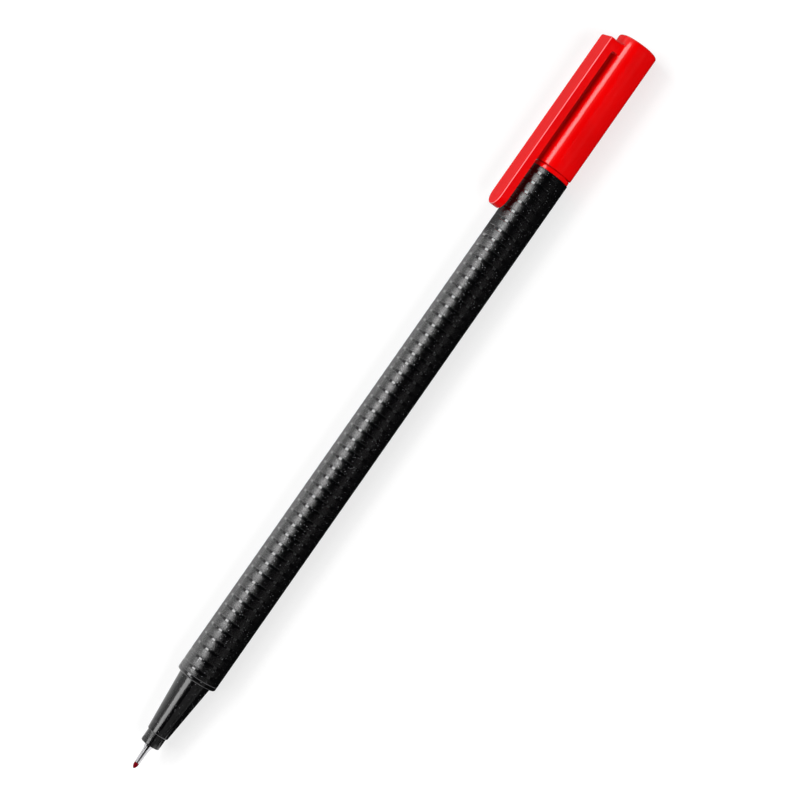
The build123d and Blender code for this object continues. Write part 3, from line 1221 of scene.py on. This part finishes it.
def makeCard(name, card):
    (front, rear), (right, left), (low, high) = card["x"], card["y"], card["z"]
    corners = [(front, right, low), (rear, right, low), (rear, left, high), (front, left, high)]
    mesh = bpy.data.meshes.new(name)
    mesh.from_pydata([Vector(corner) * mm for corner in corners], [], [(0, 1, 2, 3)])
    material, tree, shader, coords = startMaterial(name)
    place = {"Vector": coords, "Scale": cardWeave["scale"]}
    weave = addNode(tree, "ShaderNodeTexNoise", place).outputs[0]
    dark, light = [(card["grey"] * share,) * 3 + (1,) for share in cardWeave["shares"]]
    fillInputs(tree, shader, {
        "Base Color": mixColours(tree, weave, dark, light),
        "Roughness": 1,
        "Specular IOR Level": 0,
    })
    mesh.materials.append(material)
    piece = bpy.data.objects.new(name, mesh)
    bpy.context.scene.collection.objects.link(piece)
    piece.visible_camera = False
    piece.visible_diffuse = False
    piece.visible_shadow = False


def makePanel(name, panel):
    lamp = bpy.data.lights.new(name, "AREA")
    lamp.shape = "RECTANGLE"
    lamp.size = panel["length"]
    lamp.size_y = panel["across"]
    lamp.energy = panel["radiance"] * math.pi * panel["length"] * panel["across"]
    lean = math.radians(panel["lean"])
    towards = Vector((0, math.sin(lean), math.cos(lean)))
    along = Vector((1, 0, 0))
    place = Matrix((along, towards.cross(along), towards)).transposed().to_4x4()
    middle = Vector((panel["along"], 0, axisHeight * mm))
    place.translation = middle + towards * panel["distance"]
    light = bpy.data.objects.new(name, lamp)
    light.matrix_world = place
    light.visible_camera = False
    light.visible_glossy = panel["gloss"]
    bpy.context.scene.collection.objects.link(light)


def makeSky():  # bright on the clip's side, dark behind the camera
    world = bpy.data.worlds.new("studioWalls")
    world.use_nodes = True
    tree = world.node_tree
    towards = addNode(tree, "ShaderNodeTexCoord").outputs["Generated"]
    split = addNode(tree, "ShaderNodeSeparateXYZ", {"Vector": towards}).outputs
    lean = mathNode(tree, "ARCTAN2", split["Y"], split["Z"])
    first, last = [math.radians(stop[0]) for stop in (skyStops[0], skyStops[-1])]
    leanShare = rampNode(tree, lean, first, last, 0, 1, "LINEAR")
    ramp = addNode(tree, "ShaderNodeValToRGB", {"Fac": leanShare})
    stops = ramp.color_ramp.elements
    while len(stops) < len(skyStops):
        stops.new(1)
    for stop, (degrees, level) in zip(stops, skyStops):
        stop.position = (math.radians(degrees) - first) / (last - first)
        stop.color = (level, level, level, 1)
    far = skyAhead
    ahead = rampNode(tree, split["X"], -far["full"], -far["start"], far["level"], 0)
    rest = rampNode(tree, split["X"], -far["gone"], -far["fade"], 0, 1)
    dimmed = mathNode(tree, "MULTIPLY", ramp.outputs["Color"], rest)
    walls = mathNode(tree, "MAXIMUM", dimmed, ahead)
    seen = addNode(tree, "ShaderNodeLightPath").outputs["Is Camera Ray"]
    shade = mixColours(tree, seen, walls, (1, 1, 1, 1))
    fillInputs(tree, tree.nodes["Background"], {"Color": shade})
    bpy.context.scene.world = world


def makeCamera():
    tilt, turn = math.radians(view["tilt"]), math.radians(view["turn"])
    back = Vector((0, -math.sin(tilt), math.cos(tilt)))
    pen = Vector((1, 0, 0))
    beside = back.cross(pen) * -1  # right of the pen in the picture
    right = pen * math.sin(turn) + beside * math.cos(turn)
    up = pen * math.cos(turn) - beside * math.sin(turn)
    target = Vector((0, 0, axisHeight)) + pen * view["alongPen"] + beside * view["besidePen"]
    place = Matrix((right, up, back)).transposed().to_4x4()
    place.translation = (target + back * view["distance"]) * mm
    lens = bpy.data.cameras.new("photoView")
    lens.sensor_width = view["sensor"]
    lens.lens = view["sensor"] * view["distance"] / view["width"]
    lens.clip_start, lens.clip_end = view["clip"]
    camera = bpy.data.objects.new("photoView", lens)
    camera.matrix_world = place
    bpy.context.scene.collection.objects.link(camera)
    bpy.context.scene.camera = camera


makeBarrel(barrelMaterial())
blackGloss = noseMaterial()
makeFrontSection(blackGloss)
makeNibHolder(blackGloss)
makeNibSleeve(sleeveMaterial())
makeNib(nibMaterial())
redGloss = capMaterial()
makeEndPlug(redGloss)
makeCap(redGloss)
dressNode("ink_reservoir", reservoirMaterial())
dressNode("reservoir_wrap", filmMaterial())
makeFloor()
for name, card in cards.items():
    makeCard(name, card)
for name, panel in studio.items():
    makePanel(name, panel)
makeSky()
makeCamera()
bpy.context.scene.view_settings.view_transform = "Standard"
print("stage set")
